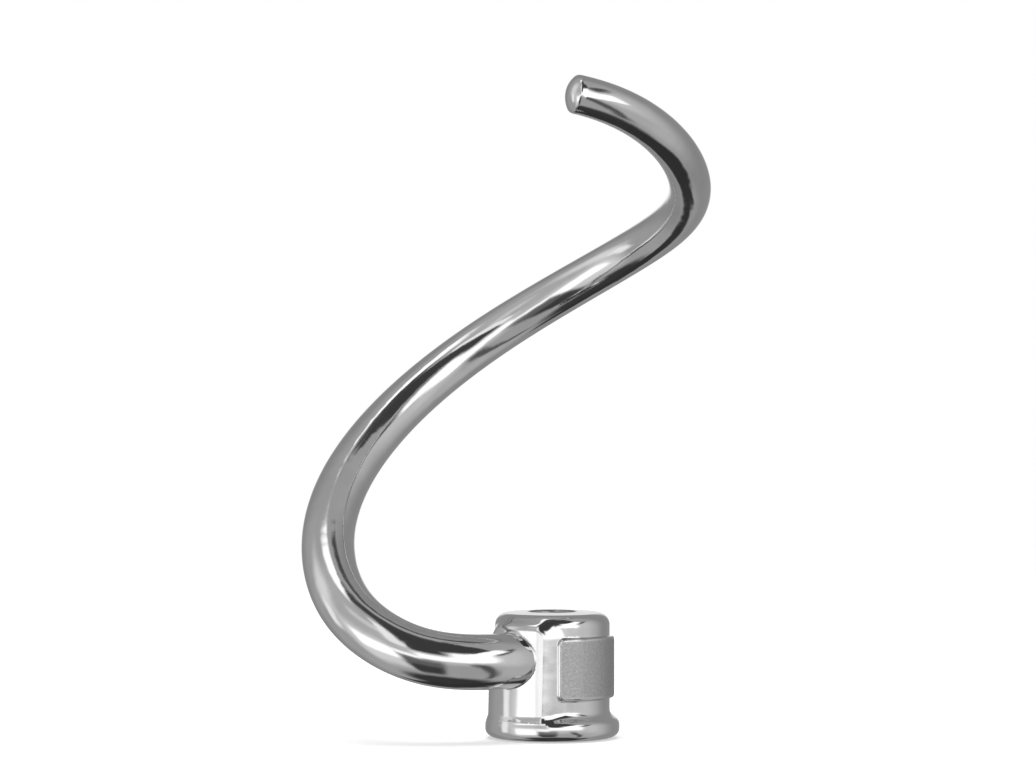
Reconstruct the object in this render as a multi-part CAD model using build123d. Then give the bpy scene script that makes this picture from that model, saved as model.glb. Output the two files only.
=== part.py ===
"""Spiral dough hook of a stand mixer: hub, root boss and tapered rod cast as one piece of steel.

Millimetres, +Z up. The origin is the centre of the drive bore on the hub's base, and the hook rises from
its hub with the rod leaving towards the front left.
"""

import os
from math import cos, radians, sin, tan

from build123d import *

# Hub, turned about Z
hub_height = 36.0
flange_radius = 19.2
flange_height = 5.9
flange_top_rise = 0.6
flange_foot_rounding = 2.2
flange_top_rounding = 1.7
barrel_radius = 16.4
barrel_fillet = 1.7
cap_rounding = 3.2
cap_drop = 0.5

# Drive bore, with the keyway that the drive shaft's cross pin enters and turns in
bore_radius = 6.45
bore_edge_rounding = 0.5
pin_slot_width = 5.2
pin_slot_reach = 11.4
pin_slot_height = 14.0
pin_slot_bearing = 0.0
pin_turn_angle = 62.0

# Boss that carries the rod, raised on the hub's front left
root_bearing = 225.0
root_height = 22.8
boss_radius = 17.8
boss_draft = 2.8
boss_width = 24.0
boss_foot = 5.0
boss_top = 33.0
boss_arch_rounding = 4.0
boss_edge_rounding = 0.8
boss_fillet = 0.6

# Plate raised on the hub, about a quarter turn from the rod
plate_turn_from_root = 92.0
plate_span = 84.0
plate_radius = 17.7
plate_bottom = 11.6
plate_top = 29.2
plate_corner = 1.6
plate_edge_rounding = 0.5
plate_fillet = 0.4

# Rod's centre line, from inside the hub's wall through a bend into a left-handed coil
root_start = 9.0
root_straight_end = 24.0
bend_front = (-35.5, -21.5, 24.5)
bend_left = (-55.0, -15.0, 34.5)
coil_radius = 51.5
coil_axis = (-12.3, 1.0, 0.0)
left_height = 51.0
back_left_height = 88.0
back_height = 117.2
back_right_height = 139.0
right_height = 155.3
front_right_height = 175.3
tip_height = 182.4
tip_bearing = -72.0

# Rod's taper and its ends
root_diameter = 15.4
left_diameter = 15.4
back_diameter = 13.0
right_diameter = 12.0
tip_diameter = 10.9
tip_rounding = 2.8
root_fillet = 0.8


def polar(radius, bearing, height):
    """Point at a distance and bearing from the hub's axis."""
    return Vector(radius * cos(radians(bearing)), radius * sin(radians(bearing)), height)


def coil_point(bearing, height):
    """Point of the rod's centre line on the coil."""
    return Vector(*coil_axis) + polar(coil_radius, bearing, height)


def outward(bearing, height):
    """Plane on the hub's axis that faces out along a bearing, its x level and its y up."""
    out = polar(1, bearing, 0)
    return Plane(origin=(0, 0, height), x_dir=Vector(0, 0, 1).cross(out), z_dir=out)


def section_plane(bearing):
    """Half-section plane along a bearing: x is the radius and y the height."""
    return Plane(origin=(0, 0, 0), x_dir=polar(1, bearing, 0), z_dir=polar(1, bearing - 90, 0))


def corner(face, radius, height):
    """The vertex of a half section at a radius and height."""
    return face.vertices().sort_by_distance((radius, height, 0))[0]


def rim(solid, radius):
    """Edges of a raised pad that lie on its outer round."""
    places = (0, 0.5, 1)
    return [
        edge
        for edge in solid.edges()
        if all(abs(Vector((edge @ t).X, (edge @ t).Y).length - radius) < 0.01 for t in places)
    ]


# Turned hub with its bore
cap_shoulder = hub_height - cap_drop
flange_shoulder = flange_height + flange_top_rise
hub_face = make_face(
    Polyline(
        (bore_radius, hub_height),
        (bore_radius, 0),
        (flange_radius, 0),
        (flange_radius, flange_height),
        (barrel_radius, flange_shoulder),
        (barrel_radius, cap_shoulder),
        close=True,
    )
)
hub_face = fillet(corner(hub_face, flange_radius, 0), flange_foot_rounding)
hub_face = fillet(corner(hub_face, flange_radius, flange_height), flange_top_rounding)
hub_face = fillet(corner(hub_face, barrel_radius, flange_shoulder), barrel_fillet)
hub_face = fillet(corner(hub_face, barrel_radius, cap_shoulder), cap_rounding)
hub_face = fillet(corner(hub_face, bore_radius, hub_height), bore_edge_rounding)
hub = revolve(section_plane(root_bearing + 180) * hub_face, Axis.Z)

# Boss: an arched block facing along the rod, trimmed to a round that narrows upwards
boss_lean = tan(radians(boss_draft))
boss_foot_radius = boss_radius + (root_height - boss_foot) * boss_lean
boss_top_radius = boss_radius - (hub_height - root_height) * boss_lean
boss_section = make_face(
    Polyline(
        (root_start, boss_foot),
        (boss_foot_radius, boss_foot),
        (boss_top_radius, hub_height),
        (root_start, hub_height),
        close=True,
    )
)
boss_round = revolve(section_plane(root_bearing + 180) * boss_section, Axis.Z)
boss_outline = Rectangle(boss_width, boss_top - boss_foot, align=(Align.CENTER, Align.MIN))
boss_outline = fillet(boss_outline.vertices().group_by(Axis.Y)[-1], boss_arch_rounding)
boss_block = extrude(outward(root_bearing, boss_foot) * boss_outline, 2 * boss_radius)
boss = boss_round & boss_block
boss_face = boss.faces().filter_by(GeomType.CONE)[0]
boss_rim = [edge for edge in boss_face.edges() if (edge @ 0.5).Z > boss_foot + boss_edge_rounding]
boss = fillet(boss_rim, boss_edge_rounding)
hub_with_boss = hub + boss
boss_seam = new_edges(hub, boss, combined=hub_with_boss)
hub_with_boss = fillet(boss_seam, boss_fillet)

# Plate: a sector of a ring with round corners
plate_bearing = root_bearing + plate_turn_from_root
plate_section = make_face(
    Polyline(
        (root_start, plate_bottom),
        (plate_radius, plate_bottom),
        (plate_radius, plate_top),
        (root_start, plate_top),
        close=True,
    )
)
plate = revolve(section_plane(plate_bearing - plate_span / 2) * plate_section, Axis.Z, plate_span)
plate_corners = [
    edge
    for edge in plate.edges().filter_by(GeomType.LINE)
    if abs((edge @ 0).Z - (edge @ 1).Z) < 0.01
]
plate = fillet(plate_corners, plate_corner)
plate = fillet(rim(plate, plate_radius), plate_edge_rounding)
body = hub_with_boss + plate
plate_seam = new_edges(hub_with_boss, plate, combined=body)
body = fillet(plate_seam, plate_fillet)

# Rod: round sections carried along the centre line
path_points = [
    polar(root_start, root_bearing, root_height),
    polar(root_straight_end, root_bearing, root_height),
    Vector(*bend_front),
    Vector(*bend_left),
    coil_point(180, left_height),
    coil_point(135, back_left_height),
    coil_point(90, back_height),
    coil_point(45, back_right_height),
    coil_point(0, right_height),
    coil_point(-45, front_right_height),
    coil_point(tip_bearing, tip_height),
]
path = Spline(*path_points)
section_places = [
    (path_points[0], root_diameter),
    (coil_point(180, left_height), left_diameter),
    (coil_point(90, back_height), back_diameter),
    (coil_point(0, right_height), right_diameter),
    (path_points[-1], tip_diameter),
]
sections = []
for place, diameter in section_places:
    along = path % path.param_at_point(place)
    level = Vector(0, 0, 1).cross(along)
    sections.append(Plane(origin=place, x_dir=level, z_dir=along) * Circle(diameter / 2))
rod = sweep(sections=sections, path=path, multisection=True)
tip_face = rod.faces().sort_by_distance(path_points[-1])[0]
rod = fillet(tip_face.edges(), tip_rounding)
hook = body + rod
root_seam = new_edges(body, rod, combined=hook)
hook = fillet(root_seam, root_fillet)

# Keyway: up from the base, then round to where the pin drives
slot_outline = Rectangle(pin_slot_width, pin_slot_height, align=(Align.CENTER, Align.MIN))
slot_entry = extrude(outward(pin_slot_bearing, 0) * slot_outline, pin_slot_reach)
turn_section = make_face(
    Polyline(
        (0, pin_slot_height - pin_slot_width),
        (pin_slot_reach, pin_slot_height - pin_slot_width),
        (pin_slot_reach, pin_slot_height),
        (0, pin_slot_height),
        close=True,
    )
)
slot_turn = revolve(section_plane(pin_slot_bearing) * turn_section, Axis.Z, pin_turn_angle)
hook = hook - slot_entry - slot_turn

os.makedirs("parts", exist_ok=True)
export_step(hook, "parts/dough_hook.step")
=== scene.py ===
"""Looks of the dough hook: a fine polished mesh of the casting, its steel, and a plain pale studio.

The casting is described in millimetres, as in the part's own drawing, and turned into metres when it is
made into a Blender mesh. It is one signed distance: the hub is meshed from it as a net, and the rod goes
on from there as rings around its centre line, so both have exact normals for clean reflections.
"""

from math import cos, radians, sin

import bpy
import numpy as np
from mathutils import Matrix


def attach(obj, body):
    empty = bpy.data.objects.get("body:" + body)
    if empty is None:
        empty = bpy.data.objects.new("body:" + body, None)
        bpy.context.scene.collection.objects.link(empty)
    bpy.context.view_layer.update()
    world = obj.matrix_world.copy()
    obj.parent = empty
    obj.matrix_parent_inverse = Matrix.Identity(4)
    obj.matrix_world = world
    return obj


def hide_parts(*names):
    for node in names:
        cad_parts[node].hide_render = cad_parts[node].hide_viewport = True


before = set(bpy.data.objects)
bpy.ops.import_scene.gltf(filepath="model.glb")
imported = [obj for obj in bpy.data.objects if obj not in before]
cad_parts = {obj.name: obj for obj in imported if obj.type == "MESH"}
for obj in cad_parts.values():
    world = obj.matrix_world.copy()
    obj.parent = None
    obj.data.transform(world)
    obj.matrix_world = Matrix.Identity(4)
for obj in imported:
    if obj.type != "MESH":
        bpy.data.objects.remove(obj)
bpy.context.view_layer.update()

MM = 0.001

# Hub, turned about Z
HUB_HEIGHT = 36.0
FLANGE_RADIUS = 19.2
FLANGE_HEIGHT = 5.9
FLANGE_TOP_RISE = 0.6
FLANGE_BULGE_RADIUS = 9.0
FLANGE_BULGE_HEIGHT = 3.3
FLANGE_FOOT_ROUNDING = 2.4
FLANGE_TOP_ROUNDING = 1.7
BARREL_RADIUS = 16.4
BARREL_FILLET = 1.7
CAP_ROUNDING = 3.2
CAP_DROP = 0.5

# Drive bore with its keyway
BORE_RADIUS = 6.45
BORE_EDGE_ROUNDING = 0.8
SLOT_WIDTH = 5.2
SLOT_REACH = 11.4
SLOT_HEIGHT = 14.0
SLOT_TURN = 62.0
SLOT_EDGE = 0.2

# Boss that carries the rod
ROOT_BEARING = 225.0
ROOT_HEIGHT = 22.8
BOSS_RADIUS = 18.2
BOSS_DRAFT = 1.5
BOSS_WIDTH = 24.2
BOSS_FOOT = 6.0
BOSS_TOP = 33.0
BOSS_LEFT_ROUNDING = 10.0
BOSS_RIGHT_ROUNDING = 4.0
BOSS_EDGE_ROUNDING = 1.6
BOSS_FILLET = 1.8

# Raised plate
PLATE_BEARING = ROOT_BEARING + 92.0
PLATE_SPAN = 84.0
PLATE_RADIUS = 17.7
PLATE_BOTTOM = 11.6
PLATE_TOP = 29.2
PLATE_CORNER = 2.0
PLATE_EDGE_ROUNDING = 0.6
PLATE_FILLET = 0.4

# Rod: points of its centre line, the coil's as bearings and heights
ROOT_START = 9.0
ROOT_STRAIGHT_END = 24.0
BEND_FRONT = (-35.5, -21.5, 24.5)
BEND_LEFT = (-55.0, -15.0, 34.5)
COIL_RADIUS = 51.5
COIL_AXIS = (-12.3, 1.0, 0.0)
COIL_HEIGHTS = (
    (180, 51.0),
    (135, 88.0),
    (90, 117.2),
    (45, 139.0),
    (0, 155.3),
    (-45, 175.3),
    (-72, 182.4),
)

# Rod's radius at some of those points, counted from the root, and its ends
ROOT_RADIUS = 7.7
TIP_RADIUS = 5.45
ROD_RADII = {0: ROOT_RADIUS, 4: 7.7, 6: 6.5, 8: 6.0, 10: TIP_RADIUS}
ROD_EASE = 0.02
TIP_RIM_ROUNDING = 1.6
TIP_RIM_TURN = 50.0
ROOT_FILLET = 0.4

# Search for the rod's nearest point around the hub: how far out, back and along, and in how many steps
ROD_REACH = 14.0
ROD_BACK = -2.0
ROD_SEARCH_END = 42.0
ROD_SEARCH_STEPS = 4

# Fineness of the mesh; the net covers the hub, and the rod's rings start at the cut
CELL = 0.42
COARSE = 4
NET_LOW = (-23.5, -24.5, -0.9)
NET_HIGH = (20.1, 20.1, 36.9)
RELAX_ROUNDS = 3
RELAX_SHARE = 0.6
SETTLE_ROUNDS = 2
ROD_CUT = 14.0
LINE_SAMPLES = 4001
RING_STEP = 1.0
RING_POINTS = 72
RIM_RINGS = 8
DOME_RINGS = 12

# Steel: reflectance and roughness of the polished skin, the plate's dull face and the machined bore
POLISHED_COLOUR = 0.66
POLISHED_ROUGHNESS = 0.07
DULL_COLOUR = 0.47
DULL_ROUGHNESS = 0.42
BORED_COLOUR = 0.36
BORED_ROUGHNESS = 0.3

# How far the colours stray, and what scratches and clouds add to the roughness
POLISHED_SPREAD = 0.025
DULL_SPREAD = 0.06
SCRATCH_ROUGHNESS = 0.07
CLOUD_ROUGHNESS = 0.03

# Ends of the plate's dull face and of the bore's wall, as shares of the rounding of their edges
PLATE_FACE_INSET = 0.6
BORE_WALL_REACH = 1.2

# Patterns in the steel, as cycles per metre, and the turns of its two sets of scratches
SCRATCH_SCALE = (300, 2600, 2600)
SCRATCH_TURNS = ((0.3, 0.5, 0.9), (1.1, -0.4, 2.2))
CLOUD_SCALE = 90
WAVE_SCALE = 160
PEEL_SCALE = 1100
GRAIN_SCALE = 1700

# Relief of the steel, in millimetres: polishing waves, the skin's fine unevenness, the plate's grain
WAVE_RISE = 0.08
PEEL_RISE = 0.004
GRAIN_RISE = 0.07

# Studio: the level all round and the soft windows in it, as make_studio reads them
ROOM_LEVEL = 0.47
WINDOWS = (
    ("left side", (-88, -25, 30), (-12, 66, 24), 0, 0.58),
    ("left wall glow", (-104, -76, 20), (5, 42, 24), 0, 0.95),
    ("right side", (58, 106, 30), (-50, 40, 26), 0, 0.58),
    ("right wall", (112, 152, 40), (-60, 75, 40), 0, 0.34),
    ("behind", (135, 228, 36), (-45, 70, 26), 0, 0.33),
    ("sweep", (165, 195, 14), (-6, 18, 10), 0, 0.88),
    ("floor", (-180, 180, 1), (-120, -66, 14), 0, 0.05),
    ("floor far right", (112, 168, 14), (-76, -57, 6), 0, 0.04),
    ("floor far middle", (160, 182, 8), (-76, -50.5, 5), 0, 0.04),
    ("floor far left", (178, 208, 8), (-76, -45, 5), 0, 0.04),
    ("left softbox glow", (-78, -26, 22), (-48, 10, 24), 0, 0.90),
    ("right softbox glow", (-22, 84, 30), (-12, 36, 22), 0, 0.75),
    ("floor front shade", (-27, 9, 10), (-58, -6, 26), 0, 0.16),
    ("floor front", (-26, 5, 8), (-56, -29, 12), 0, 0.06),
    ("floor right shade", (46, 59, 9), (-60, -9, 10), -0.65, 0.12),
    ("ceiling front", (-9, 57, 6), (20, 75, 8), 0, 0.06),
    ("ceiling right", (54, 74, 10), (24, 42, 6), 1.6, 0.10),
    ("ceiling middle", (-40, 45, 16), (70, 84, 8), 0, 0.07),
    ("ceiling back", (102, 125, 8), (68, 82, 8), 0, 0.08),
    ("strip arm", (-52, -12, 14), (36, 48, 8), 0, 0.80),
    ("strip", (-22, -10, 5), (21, 60, 8), 0, 1.2),
    ("top left", (-92, -39, 14), (65, 86, 8), 0, 1.6),
    ("left strip", (-97, -83, 8), (-14, 10, 12), 0, 1.2),
    ("left softbox", (-66, -28, 10), (-23, 1, 12), 0, 1.8),
    ("softbox link", (-28, -6, 8), (-6, 3, 5), 0, 1.45),
    ("right softbox foot", (-8, 52, 10), (-2, 14, 7), 0, 1.6),
    ("right softbox", (18, 54, 14), (2, 33, 12), 0, 1.6),
)

# Softbox near the hook's front right, in metres; the fade is a share of its half sizes
SOFTBOX_MIDDLE = (0.168, -0.190, 0.187)
SOFTBOX_RUN = (0.449, 0.737, 0.505)
SOFTBOX_FACES = (-0.015, 0.0, 0.09)
SOFTBOX_HALF = (0.130, 0.042)
SOFTBOX_FADE = 0.35
SOFTBOX_LEVEL = 1.6

# Floor and lamp, in metres
FLOOR_SIZE = 3.0
FLOOR_DROP = 0.0002
FLOOR_FADE = (0.35, 1.1)
FLOOR_COLOUR = 0.7
FLOOR_LIFT = 0.45
LAMP_SIZE = 1.2
LAMP_HEIGHT = 1.4
LAMP_POWER = 18.0

# Camera, in metres and degrees
CAMERA_PLACE = (-0.0098, -1.5, 0.137)
CAMERA_PITCH = 88.666
CAMERA_LENS = 182.95
CAMERA_SENSOR = 36.0


def polar(radius, bearing, height):
    """Point at a distance and bearing from the hub's axis."""
    return np.array([radius * cos(radians(bearing)), radius * sin(radians(bearing)), height])


def coil_point(bearing, height):
    """Point of the rod's centre line on the coil."""
    return np.array(COIL_AXIS) + polar(COIL_RADIUS, bearing, height)


def end_slope(t, y, at):
    """Slope at a parameter of the cubic through four points."""
    slope = 0
    for i in range(4):
        a, b, c = (t[j] for j in range(4) if j != i)
        share = (at - a) * (at - b) + (at - a) * (at - c) + (at - b) * (at - c)
        slope = slope + y[i] * share / ((t[i] - a) * (t[i] - b) * (t[i] - c))
    return slope


class CentreLine:
    """Cubic spline through the rod's points p at parameters t, with slopes m, and the rod's taper."""

    def __init__(self):
        points = [
            polar(ROOT_START, ROOT_BEARING, ROOT_HEIGHT),
            polar(ROOT_STRAIGHT_END, ROOT_BEARING, ROOT_HEIGHT),
            BEND_FRONT,
            BEND_LEFT,
        ]
        points += [coil_point(bearing, height) for bearing, height in COIL_HEIGHTS]
        self.p = np.array(points, float)
        chords = np.linalg.norm(np.diff(self.p, axis=0), axis=1)
        self.t = np.concatenate([[0], np.cumsum(chords)])
        self.h = np.diff(self.t)
        n = len(self.t)
        a = np.eye(n)
        b = np.zeros((n, 3))
        b[0] = end_slope(self.t[:4], self.p[:4], self.t[0])
        b[-1] = end_slope(self.t[-4:], self.p[-4:], self.t[-1])
        for i in range(1, n - 1):
            before, after = self.h[i - 1], self.h[i]
            a[i, i - 1 : i + 2] = 1 / before, 2 / before + 2 / after, 1 / after
            b[i] = 3 * ((self.p[i] - self.p[i - 1]) / before**2 + (self.p[i + 1] - self.p[i]) / after**2)
        self.m = np.linalg.solve(a, b)
        places = self.t[list(ROD_RADII)] / self.t[-1]
        self.taper = np.poly1d(np.polyfit(places, list(ROD_RADII.values()), len(places) - 1))

    def span(self, u):
        """Span, its length and the share of it passed, for each parameter."""
        i = np.clip(np.searchsorted(self.t, u, side="right") - 1, 0, len(self.h) - 1)
        h = self.h[i][:, None]
        return i, h, (u - self.t[i])[:, None] / h

    def at(self, u):
        """Points of the line."""
        i, h, w = self.span(u)
        return (
            (1 + 2 * w) * (1 - w) ** 2 * self.p[i]
            + w * (1 - w) ** 2 * h * self.m[i]
            + w * w * (3 - 2 * w) * self.p[i + 1]
            + w * w * (w - 1) * h * self.m[i + 1]
        )

    def slope(self, u):
        """Slopes of the line by its parameter."""
        i, h, w = self.span(u)
        return (
            6 * w * (w - 1) / h * (self.p[i] - self.p[i + 1])
            + (1 - w) * (1 - 3 * w) * self.m[i]
            + w * (3 * w - 2) * self.m[i + 1]
        )

    def radius(self, u):
        """Radius along the rod, eased so that its fine mesh stays inside the solid's box."""
        return self.taper(u / self.t[-1]) - ROD_EASE


LINE = CentreLine()


def union(a, b, r):
    """Union of two distances with a round fillet."""
    return np.maximum(r, np.minimum(a, b)) - np.hypot(np.maximum(r - a, 0), np.maximum(r - b, 0))


def common(a, b, r):
    """Intersection of two distances with a round edge."""
    return np.minimum(-r, np.maximum(a, b)) + np.hypot(np.maximum(r + a, 0), np.maximum(r + b, 0))


def sector(x, y, bearing, span):
    """Distance across the flank of a sector about the hub's axis."""
    turn = np.abs((np.degrees(np.arctan2(y, x)) - bearing + 180) % 360 - 180) - span / 2
    return np.hypot(x, y) * np.sin(np.radians(np.clip(turn, -90, 90)))


def cone(r, z, radius, height, fall):
    """Distance to a cone about the hub's axis through a circle; its height falls as the radius grows."""
    return (z - height + fall * (r - radius)) / np.hypot(1, fall)


def plate_outline(p):
    """Signed distance to the raised plate's outline, along the hub's round."""
    x, y, z = p.T
    middle = (PLATE_TOP + PLATE_BOTTOM) / 2
    height = np.abs(z - middle) - (PLATE_TOP - PLATE_BOTTOM) / 2
    return common(sector(x, y, PLATE_BEARING, PLATE_SPAN), height, PLATE_CORNER)


def hub_distance(p):
    """Signed distance to the hub with its boss and plate, before bore and keyway."""
    x, y, z = p.T
    r = np.hypot(x, y)
    flange_fall = FLANGE_TOP_RISE / (FLANGE_RADIUS - BARREL_RADIUS)
    flange_top = cone(r, z, FLANGE_RADIUS, FLANGE_HEIGHT, flange_fall)
    bulge_middle = FLANGE_RADIUS - FLANGE_BULGE_RADIUS
    bulge = np.hypot(r - bulge_middle, z - FLANGE_BULGE_HEIGHT) - FLANGE_BULGE_RADIUS
    flange_side = np.where(r > bulge_middle, bulge, r - FLANGE_RADIUS)
    flange = common(flange_side, flange_top, FLANGE_TOP_ROUNDING)
    flange = common(flange, -z, FLANGE_FOOT_ROUNDING)
    cap_fall = CAP_DROP / (BARREL_RADIUS - BORE_RADIUS)
    cap_top = cone(r, z, BORE_RADIUS, HUB_HEIGHT, cap_fall)
    barrel = np.maximum(common(r - BARREL_RADIUS, cap_top, CAP_ROUNDING), FLANGE_HEIGHT / 2 - z)
    turned = union(flange, barrel, BARREL_FILLET)

    out = polar(1, ROOT_BEARING, 0)
    along = x * out[0] + y * out[1]
    side = y * out[0] - x * out[1]
    shoulder = np.where(side > 0, BOSS_RIGHT_ROUNDING, BOSS_LEFT_ROUNDING)
    arch = common(np.abs(side) - BOSS_WIDTH / 2, z - BOSS_TOP, shoulder)
    face = cone(r, z, BOSS_RADIUS, ROOT_HEIGHT, 1 / np.tan(np.radians(BOSS_DRAFT)))
    boss = common(arch, face, BOSS_EDGE_ROUNDING)
    boss = np.maximum(np.maximum(boss, BOSS_FOOT - z), -along)

    plate = common(plate_outline(p), r - PLATE_RADIUS, PLATE_EDGE_ROUNDING)
    return union(union(turned, boss, BOSS_FILLET), plate, PLATE_FILLET)


def bore_distance(p):
    """Signed distance to the bore with its keyway."""
    x, y, z = p.T
    r = np.hypot(x, y)
    entry = common(np.abs(y) - SLOT_WIDTH / 2, x - SLOT_REACH, SLOT_EDGE)
    entry = np.maximum(common(entry, z - SLOT_HEIGHT, SLOT_EDGE), -x)
    middle = SLOT_HEIGHT - SLOT_WIDTH / 2
    ring = common(np.abs(z - middle) - SLOT_WIDTH / 2, r - SLOT_REACH, SLOT_EDGE)
    ring = common(ring, sector(x, y, SLOT_TURN / 2, SLOT_TURN), SLOT_EDGE)
    return np.minimum(np.minimum(entry, ring), r - BORE_RADIUS)


def rod_distance(p):
    """Signed distance to the rod near the hub; points out of reach keep that value."""
    out = polar(1, ROOT_BEARING, 0)
    along = p @ out
    side = p[:, 1] * out[0] - p[:, 0] * out[1]
    room = ROD_REACH + ROOT_RADIUS
    near = (along > ROD_BACK) & (np.abs(side) < room) & (np.abs(p[:, 2] - ROOT_HEIGHT) < room)
    q = p[near]
    u = np.clip(along[near] - ROOT_START, 0, ROD_SEARCH_END)
    for _ in range(ROD_SEARCH_STEPS):
        slope = LINE.slope(u)
        step = np.sum((q - LINE.at(u)) * slope, axis=1) / np.sum(slope * slope, axis=1)
        u = np.clip(u + step, 0, ROD_SEARCH_END)
    d = np.full(len(p), ROD_REACH)
    d[near] = np.minimum(np.linalg.norm(q - LINE.at(u), axis=1) - LINE.radius(u), ROD_REACH)
    return d


def distance(p):
    """Signed distance to the whole casting near the hub."""
    casting = union(hub_distance(p), rod_distance(p), ROOT_FILLET)
    edge = np.where(p[:, 2] > HUB_HEIGHT / 2, BORE_EDGE_ROUNDING, SLOT_EDGE)
    return common(casting, -bore_distance(p), edge)


def gradient(p, step=0.02):
    """Unit direction in which the distance grows."""
    g = np.zeros_like(p)
    for corner in np.array([(1, -1, -1), (-1, -1, 1), (-1, 1, -1), (1, 1, 1)], float):
        g += corner * distance(p + step * corner)[:, None]
    return g / np.maximum(np.linalg.norm(g, axis=1, keepdims=True), 1e-12)


def grid_distance(nodes):
    """Distance at a grid's nodes: a coarse guess, exact near the surface."""
    coarse = nodes[::COARSE, ::COARSE, ::COARSE]
    d = distance(coarse.reshape(-1, 3)).reshape(coarse.shape[:3])
    for axis in range(3):
        d = np.repeat(d, COARSE, axis=axis)
    d = np.ascontiguousarray(d[tuple(slice(0, n) for n in nodes.shape[:3])])
    near = np.abs(d) < 2 * COARSE * CELL
    d[near] = distance(nodes[near])
    return d


def surface_net():
    """Vertices and quads of a surface net of the hub."""
    axes = [np.arange(low, high + CELL, CELL) for low, high in zip(NET_LOW, NET_HIGH)]
    d = grid_distance(np.stack(np.meshgrid(*axes, indexing="ij"), axis=-1))
    shape = d.shape
    inside = d < 0

    # One vertex in each cell that the surface crosses, at the mean of the crossings of its edges
    total = np.zeros(tuple(n - 1 for n in shape) + (3,))
    count = np.zeros(total.shape[:3], int)
    corners = [(i, j, k) for i in (0, 1) for j in (0, 1) for k in (0, 1)]
    view = {c: tuple(slice(o, o + n - 1) for o, n in zip(c, shape)) for c in corners}
    for a in corners:
        for axis in range(3):
            if a[axis]:
                continue
            b = tuple(1 if k == axis else v for k, v in enumerate(a))
            cross = inside[view[a]] != inside[view[b]]
            share = np.where(cross, d[view[a]] / np.where(cross, d[view[a]] - d[view[b]], 1), 0)
            for k in range(3):
                total[..., k] += np.where(cross, a[k] + (share if k == axis else 0), 0)
            count += cross
    used = count > 0
    number = np.full(used.shape, -1)
    number[used] = np.arange(used.sum())
    verts = (np.argwhere(used) + total[used] / count[used][:, None]) * CELL + [a[0] for a in axes]

    # One quad around each grid edge that the surface crosses, between the four cells that share it
    quads = []
    for axis in range(3):
        first = np.delete(inside, -1, axis)
        places = np.argwhere(first != np.delete(inside, 0, axis))
        u, v = [k for k in range(3) if k != axis]
        sides = places[:, [u, v]]
        places = places[((sides > 0) & (sides < np.array(number.shape)[[u, v]])).all(axis=1)]
        flip = first[tuple(places.T)] != (axis == 1)
        ring = []
        for du, dv in ((0, 0), (1, 0), (1, 1), (0, 1)):
            cell = places.copy()
            cell[:, u] -= du
            cell[:, v] -= dv
            ring.append(number[tuple(cell.T)])
        quad = np.column_stack(ring)
        quad[~flip] = quad[~flip][:, ::-1]
        quads.append(quad)
    return verts, np.vstack(quads)


def relax(verts, quads):
    """Evens out a net along its surface and settles it exactly on it."""
    a = quads.ravel()
    b = np.roll(quads, -1, axis=1).ravel()
    size = len(verts)
    count = np.bincount(a, minlength=size) + np.bincount(b, minlength=size)
    for step in range(RELAX_ROUNDS + SETTLE_ROUNDS):
        if step < RELAX_ROUNDS:
            total = [np.bincount(a, w[b], size) + np.bincount(b, w[a], size) for w in verts.T]
            move = (np.column_stack(total) / count[:, None] - verts) * RELAX_SHARE
            normal = gradient(verts)
            verts = verts + move - normal * np.sum(move * normal, axis=1, keepdims=True)
        verts = verts - distance(verts)[:, None] * gradient(verts)
    return verts


def cut_net(verts, quads, centre, along, radius):
    """Cuts the net where the rod goes on, and returns it with its cut edge, a loop on the rod's round."""
    beyond = (verts - centre) @ along
    far = (beyond > 0) & (np.linalg.norm(verts - centre, axis=1) < 2 * radius)
    quads = quads[~far[quads].all(axis=1)]
    spoke = verts[far] - np.outer(beyond[far], along) - centre
    verts = verts.copy()
    verts[far] = centre + spoke / np.linalg.norm(spoke, axis=1, keepdims=True) * radius
    used = np.unique(quads)
    number = np.full(len(verts), -1)
    number[used] = np.arange(len(used))
    quads = number[quads]

    # Edge: the ways round the quads that no neighbour goes back, followed from one to the next
    ways = np.column_stack([quads.ravel(), np.roll(quads, -1, axis=1).ravel()])
    ways = {tuple(way) for way in ways[far[used][ways].all(axis=1)].tolist()}
    after = {b: a for a, b in ways if (b, a) not in ways}
    loop = [min(after)]
    while after[loop[-1]] != loop[0]:
        loop.append(after[loop[-1]])
    return verts[used], quads, np.array(loop)


def rod_frames(u):
    """Centres, tangents and two untwisted cross directions along the rod."""
    centres = LINE.at(u)
    tangents = LINE.slope(u)
    tangents /= np.linalg.norm(tangents, axis=1, keepdims=True)
    across = np.empty_like(centres)
    carried = np.array([0.0, 0.0, 1.0])
    for i, along in enumerate(tangents):
        carried = carried - along * (carried @ along)
        carried /= np.linalg.norm(carried)
        across[i] = carried
    return centres, tangents, across, np.cross(tangents, across)


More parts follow.
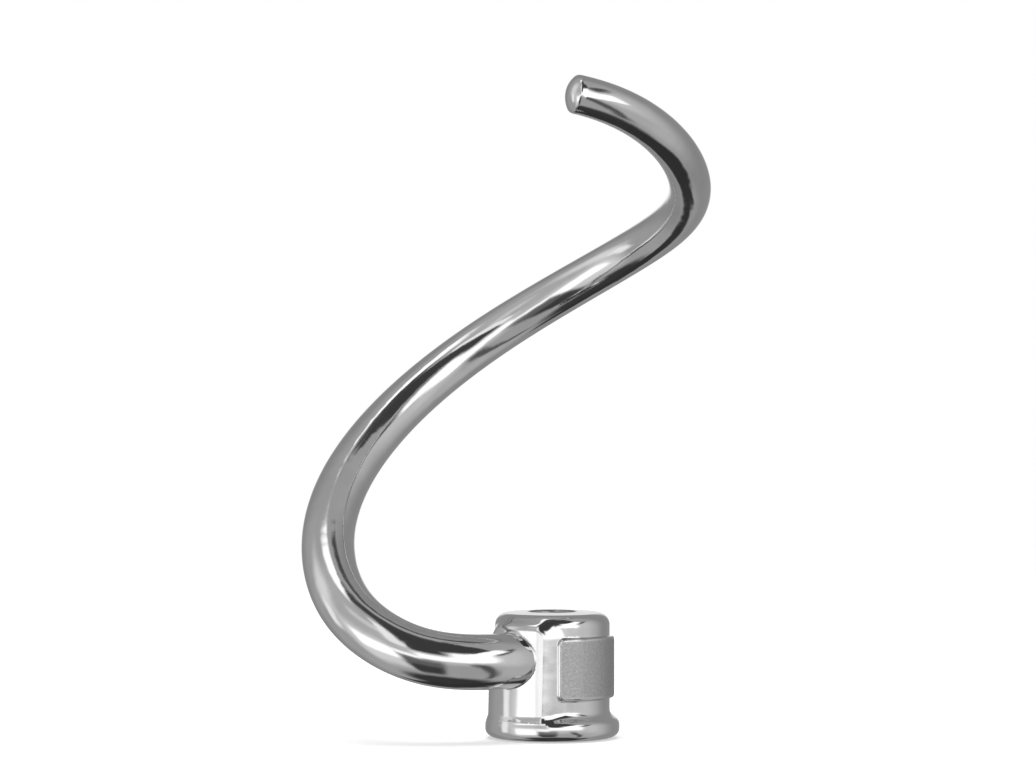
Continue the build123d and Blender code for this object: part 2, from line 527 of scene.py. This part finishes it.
def rod_rings():
    """Rings of the rod from the cut to its domed tip: points, normals and frames."""
    fine = np.linspace(ROD_CUT, LINE.t[-1], LINE_SAMPLES)
    steps = np.linalg.norm(np.diff(LINE.at(fine), axis=0), axis=1)
    length = np.concatenate([[0], np.cumsum(steps)])

    # Tip: a rounded rim, then a shallow dome up to the line's end
    turned = radians(TIP_RIM_TURN)
    rim = np.linspace(0, turned, RIM_RINGS + 1)[1:]
    dome = np.linspace(turned, np.pi / 2, DOME_RINGS + 1)[1:-1]
    dome_radius = (TIP_RADIUS - TIP_RIM_ROUNDING * (1 - cos(turned))) / cos(turned)
    rise = np.concatenate(
        [
            TIP_RIM_ROUNDING * np.sin(rim),
            TIP_RIM_ROUNDING * sin(turned) + dome_radius * (np.sin(dome) - sin(turned)),
        ]
    )
    inset = np.concatenate(
        [TIP_RIM_ROUNDING * (1 - np.cos(rim)), TIP_RADIUS - dome_radius * np.cos(dome)]
    )
    turn = np.concatenate([rim, dome])
    body = length[-1] - TIP_RIM_ROUNDING * sin(turned) - dome_radius * (1 - sin(turned))

    stations = np.linspace(RING_STEP / 2, body, int(body / RING_STEP))
    places = np.concatenate([[0], stations, body + rise])
    u = np.interp(places, length, fine)
    centres, tangents, across, beside = rod_frames(u)
    radius = LINE.radius(u)
    tip = slice(len(stations) + 1, None)
    radius[tip] = TIP_RADIUS - inset

    angle = np.arange(RING_POINTS) * 2 * np.pi / RING_POINTS
    spoke = np.cos(angle)[:, None] * across[:, None] + np.sin(angle)[:, None] * beside[:, None]
    bend = np.gradient(tangents, places, axis=0)
    stretch = 1 - radius[:, None] * np.einsum("ijk,ik->ij", spoke, bend)
    lean = np.gradient(radius, places)
    normals = spoke * stretch[..., None] - lean[:, None, None] * tangents[:, None]
    ahead = np.sin(turn)[:, None, None] * tangents[tip, None]
    normals[tip] = np.cos(turn)[:, None, None] * spoke[tip] + ahead
    points = centres[:, None] + radius[:, None, None] * spoke
    return points, normals, (centres, tangents, across, beside)


def ring_quads(rings):
    """Quads between rings of indices that follow each other."""
    after = np.roll(rings, -1, axis=1)
    return np.stack([rings[:-1], after[:-1], after[1:], rings[1:]], axis=-1).reshape(-1, 4)


def join(edge, edge_angle, ring):
    """Triangles between the net's cut edge and a ring, both in order of their angle."""
    full = 2 * np.pi
    edge_next = np.append(edge_angle[1:], edge_angle[0] + full)
    ring_next = (np.arange(len(ring)) + 1) * full / len(ring)
    i = j = 0
    triangles = []
    while i < len(edge) or j < len(ring):
        a, b = edge[i % len(edge)], ring[j % len(ring)]
        if j == len(ring) or (i < len(edge) and edge_next[i] <= ring_next[j]):
            i += 1
            triangles.append((a, edge[i % len(edge)], b))
        else:
            j += 1
            triangles.append((a, ring[j % len(ring)], b))
    return triangles


def whole_mesh():
    """The casting as one closed mesh: vertices, faces and normals, in millimetres."""
    rings, ring_normals, (centres, tangents, across, beside) = rod_rings()
    net, quads = surface_net()
    net = relax(net, quads)
    net, quads, edge = cut_net(net, quads, centres[0], tangents[0], LINE.radius(ROD_CUT))

    # Rings after the cut, closed by a fan to the tip's middle
    middle = LINE.p[-1]
    rings, ring_normals = rings[1:], ring_normals[1:]
    index = len(net) + np.arange(len(rings) * RING_POINTS).reshape(-1, RING_POINTS)
    fan = [(a, b, index.max() + 1) for a, b in zip(index[-1], np.roll(index[-1], -1))]

    # Net's cut edge, from its first point round, joined to the first of those rings
    spoke = net[edge] - centres[0]
    angle = np.arctan2(spoke @ beside[0], spoke @ across[0]) % (2 * np.pi)
    first = -np.argmin(angle)
    angle = np.maximum.accumulate(np.roll(angle, first))
    triangles = join(np.roll(edge, first), angle, index[0]) + fan
    verts = np.vstack([net, rings.reshape(-1, 3), middle])
    normals = np.vstack([gradient(net), ring_normals.reshape(-1, 3), tangents[-1]])
    normals /= np.linalg.norm(normals, axis=1, keepdims=True)
    return verts, np.vstack([quads, ring_quads(index)]), np.array(triangles), normals


class Graph:
    """A node tree being made; the inputs of its nodes are sockets or plain values."""

    def __init__(self, tree):
        self.tree = tree
        tree.nodes.clear()

    def add(self, kind, inputs=None, **settings):
        """A new node with its inputs and settings."""
        node = self.tree.nodes.new(kind)
        for name, value in settings.items():
            setattr(node, name, value)
        for key, value in (inputs or {}).items():
            if isinstance(value, bpy.types.NodeSocket):
                self.tree.links.new(value, node.inputs[key])
            else:
                node.inputs[key].default_value = value
        return node

    def math(self, operation, *values):
        return self.add("ShaderNodeMath", dict(enumerate(values)), operation=operation).outputs[0]

    def fade(self, value, start, end, low=0.0, high=1.0):
        """Smooth step of a value from low at start to high at end."""
        inputs = {"Value": value, "From Min": start, "From Max": end, "To Min": low, "To Max": high}
        return self.add("ShaderNodeMapRange", inputs, interpolation_type="SMOOTHSTEP").outputs[0]

    def mix(self, share, a, b):
        """A value from a to b by a share."""
        return self.add("ShaderNodeMix", {0: share, 2: a, 3: b}).outputs[0]

    def noise(self, vector, scale, detail, roughness=0.5):
        inputs = {"Vector": vector, "Scale": scale, "Detail": detail, "Roughness": roughness}
        return self.add("ShaderNodeTexNoise", inputs).outputs["Fac"]

    def grey(self, value):
        return self.add("ShaderNodeCombineColor", {0: value, 1: value, 2: value}).outputs[0]


def new_material(name):
    """A material and the graph to make it in."""
    material = bpy.data.materials.new(name)
    material.use_nodes = True
    return material, Graph(material.node_tree)


def add_object(name, data):
    """A new object, linked into the scene."""
    new = bpy.data.objects.new(name, data)
    bpy.context.collection.objects.link(new)
    return new


def steel():
    """Polished cast steel with faint scratches and waves, dull and grainy on the plate's face."""
    material, g = new_material("polished_steel")
    place = g.add("ShaderNodeTexCoord").outputs["Object"]
    dull = g.add("ShaderNodeAttribute", attribute_name="plate_face").outputs["Fac"]
    bored = g.add("ShaderNodeAttribute", attribute_name="bore_wall").outputs["Fac"]

    # Polishing scratches: noise drawn out in two slanting directions
    fine = []
    for turn in SCRATCH_TURNS:
        drawn = {"Vector": place, "Rotation": turn, "Scale": SCRATCH_SCALE}
        fine.append(g.noise(g.add("ShaderNodeMapping", drawn).outputs[0], 1.0, 2.0))
    scratches = g.math("MAXIMUM", *fine)
    clouds = g.noise(place, CLOUD_SCALE, 3.0)
    waves = g.noise(place, WAVE_SCALE, 1.0)
    peel = g.noise(place, PEEL_SCALE, 2.0)
    grain = g.noise(place, GRAIN_SCALE, 3.0, 0.6)

    tone = g.fade(clouds, 0.3, 0.7, POLISHED_COLOUR - POLISHED_SPREAD, POLISHED_COLOUR + POLISHED_SPREAD)
    dull_tone = g.fade(grain, 0.25, 0.75, DULL_COLOUR - DULL_SPREAD, DULL_COLOUR + DULL_SPREAD)
    scratched = POLISHED_ROUGHNESS + SCRATCH_ROUGHNESS
    gloss = g.fade(scratches, 0.55, 0.8, POLISHED_ROUGHNESS, scratched)
    gloss = g.math("ADD", gloss, g.fade(clouds, 0.4, 0.7, 0.0, CLOUD_ROUGHNESS))
    skin = g.math("MULTIPLY_ADD", peel, PEEL_RISE, g.math("MULTIPLY", waves, WAVE_RISE))
    relief = g.mix(dull, skin, g.math("MULTIPLY", grain, GRAIN_RISE))
    bump = g.add("ShaderNodeBump", {"Height": relief, "Distance": MM, "Strength": 1.0})
    shader = g.add(
        "ShaderNodeBsdfPrincipled",
        {
            "Base Color": g.grey(g.mix(bored, g.mix(dull, tone, dull_tone), BORED_COLOUR)),
            "Metallic": 1.0,
            "Roughness": g.mix(bored, g.mix(dull, gloss, DULL_ROUGHNESS), BORED_ROUGHNESS),
            "Normal": bump.outputs[0],
        },
    )
    g.add("ShaderNodeOutputMaterial", {"Surface": shader.outputs[0]})
    return material


def make_hook():
    """The casting as a Blender object."""
    verts, quads, triangles, normals = whole_mesh()
    mesh = bpy.data.meshes.new("hook")
    mesh.from_pydata((verts * MM).tolist(), [], quads.tolist() + triangles.tolist())
    mesh.shade_smooth()
    mesh.normals_split_custom_set_from_vertices(normals.tolist())

    # Shares of the plate's face, inside its rounded rim, and of the bore's wall, up to its rounded mouths
    within = np.clip(-plate_outline(verts) / PLATE_EDGE_ROUNDING - PLATE_FACE_INSET, 0, 1)
    proud = np.clip((np.hypot(verts[:, 0], verts[:, 1]) - PLATE_RADIUS) / PLATE_EDGE_ROUNDING + 1, 0, 1)
    bored = np.clip(BORE_WALL_REACH - bore_distance(verts) / BORE_EDGE_ROUNDING, 0, 1)
    for name, share in (("plate_face", within * proud), ("bore_wall", bored)):
        finish = mesh.attributes.new(name, "FLOAT", "POINT")
        finish.data.foreach_set("value", share)
    mesh.materials.append(steel())
    hook = add_object("hook", mesh)
    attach(hook, "root")
    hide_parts("dough_hook")


def make_studio():
    """World: white to the camera, and to all else a room of soft windows.

    Each window has a name, the start, end and softness of its azimuth and of its elevation, the azimuth
    that it gains per degree of elevation, and its level. Azimuth 0 looks from the hook to the camera and
    90 to its right.
    """
    world = bpy.data.worlds.new("studio")
    bpy.context.scene.world = world
    world.use_nodes = True
    g = Graph(world.node_tree)
    ray = g.add("ShaderNodeTexCoord").outputs["Generated"]
    x, y, z = g.add("ShaderNodeSeparateXYZ", {0: ray}).outputs
    azimuth = g.math("DEGREES", g.math("ARCTAN2", x, g.math("MULTIPLY", y, -1.0)))
    elevation = g.math("DEGREES", g.math("ARCSINE", z))
    level = ROOM_LEVEL
    for _, across, upright, slant, brightness in WINDOWS:
        above = g.math("SUBTRACT", elevation, sum(upright[:2]) / 2)
        aside = g.math("SUBTRACT", azimuth, sum(across[:2]) / 2)
        aside = g.math("WRAP", g.math("SUBTRACT", aside, g.math("MULTIPLY", above, slant)), 180.0, -180.0)
        share = 1.0
        for off, (start, end, soft) in ((aside, across), (above, upright)):
            half = (end - start) / 2
            edge = g.fade(g.math("ABSOLUTE", off), half + soft / 2, half - soft / 2)
            share = g.math("MULTIPLY", edge, share)
        level = g.mix(share, level, brightness)
    room = g.add("ShaderNodeBackground", {"Color": g.grey(level)})
    white = g.add("ShaderNodeBackground", {"Color": (1, 1, 1, 1)})
    seen = g.add("ShaderNodeLightPath").outputs["Is Camera Ray"]
    both = g.add("ShaderNodeMixShader", {0: seen, 1: room.outputs[0], 2: white.outputs[0]})
    g.add("ShaderNodeOutputWorld", {"Surface": both.outputs[0]})


def make_softbox():
    """Softbox near the hook, which only its reflections show."""
    middle, run, face = (np.array(v) for v in (SOFTBOX_MIDDLE, SOFTBOX_RUN, SOFTBOX_FACES))
    run = run / np.linalg.norm(run)
    across = np.cross(face - middle, run)
    across /= np.linalg.norm(across)
    long, wide = SOFTBOX_HALF
    signs = ((-1, -1), (1, -1), (1, 1), (-1, 1))
    corners = [middle + a * long * run + b * wide * across for a, b in signs]
    mesh = bpy.data.meshes.new("softbox")
    mesh.from_pydata(corners, [], [(0, 1, 2, 3)])
    mesh.uv_layers.new()
    material, g = new_material("softbox")
    place = g.add("ShaderNodeTexCoord").outputs["UV"]
    share = 1.0
    for along in g.add("ShaderNodeSeparateXYZ", {0: place}).outputs[:2]:
        off = g.math("ABSOLUTE", g.math("MULTIPLY_ADD", along, 2.0, -1.0))
        share = g.math("MULTIPLY", g.fade(off, 1.0, 1.0 - SOFTBOX_FADE), share)
    glow = g.add("ShaderNodeEmission", {"Color": (1, 1, 1, 1), "Strength": SOFTBOX_LEVEL})
    through = g.add("ShaderNodeBsdfTransparent")
    both = g.add("ShaderNodeMixShader", {0: share, 1: through.outputs[0], 2: glow.outputs[0]})
    g.add("ShaderNodeOutputMaterial", {"Surface": both.outputs[0]})
    mesh.materials.append(material)
    softbox = add_object("softbox", mesh)
    softbox.visible_camera = softbox.visible_diffuse = softbox.visible_shadow = False


def make_floor():
    """Pale floor that takes a soft shadow and fades into the white around it."""
    half = FLOOR_SIZE / 2
    corners = [(-half, -half, 0), (half, -half, 0), (half, half, 0), (-half, half, 0)]
    mesh = bpy.data.meshes.new("floor")
    mesh.from_pydata(corners, [], [(0, 1, 2, 3)])
    material, g = new_material("floor")
    place = g.add("ShaderNodeTexCoord").outputs["Object"]
    far = g.add("ShaderNodeVectorMath", {0: place}, operation="LENGTH").outputs["Value"]
    beneath = g.add("ShaderNodeNewGeometry").outputs["Backfacing"]
    clear = g.math("MAXIMUM", g.fade(far, *FLOOR_FADE), beneath)
    seen = g.add("ShaderNodeLightPath").outputs["Is Camera Ray"]
    pale = g.add("ShaderNodeBsdfDiffuse", {"Color": (FLOOR_COLOUR, FLOOR_COLOUR, FLOOR_COLOUR, 1)})
    lift = g.math("MULTIPLY", seen, FLOOR_LIFT)
    glow = g.add("ShaderNodeEmission", {"Color": (1, 1, 1, 1), "Strength": lift})
    lit = g.add("ShaderNodeAddShader", {0: pale.outputs[0], 1: glow.outputs[0]})
    through = g.add("ShaderNodeBsdfTransparent")
    both = g.add("ShaderNodeMixShader", {0: clear, 1: lit.outputs[0], 2: through.outputs[0]})
    g.add("ShaderNodeOutputMaterial", {"Surface": both.outputs[0]})
    mesh.materials.append(material)
    floor = add_object("floor", mesh)
    floor.location.z = -FLOOR_DROP
    floor.visible_glossy = False


def make_lamp():
    """Soft lamp over the floor; the metal shows the room's windows in its place."""
    light = bpy.data.lights.new("lamp", "AREA")
    light.size = LAMP_SIZE
    light.energy = LAMP_POWER
    lamp = add_object("lamp", light)
    lamp.location.z = LAMP_HEIGHT
    lamp.visible_glossy = False


def make_camera():
    """Camera at the photograph's viewing angle."""
    camera = add_object("camera", bpy.data.cameras.new("camera"))
    camera.data.lens = CAMERA_LENS
    camera.data.sensor_width = CAMERA_SENSOR
    camera.location = CAMERA_PLACE
    camera.rotation_euler = (radians(CAMERA_PITCH), 0, 0)
    bpy.context.scene.camera = camera


make_hook()
make_studio()
make_softbox()
make_floor()
make_lamp()
make_camera()
bpy.context.scene.view_settings.view_transform = "Standard"
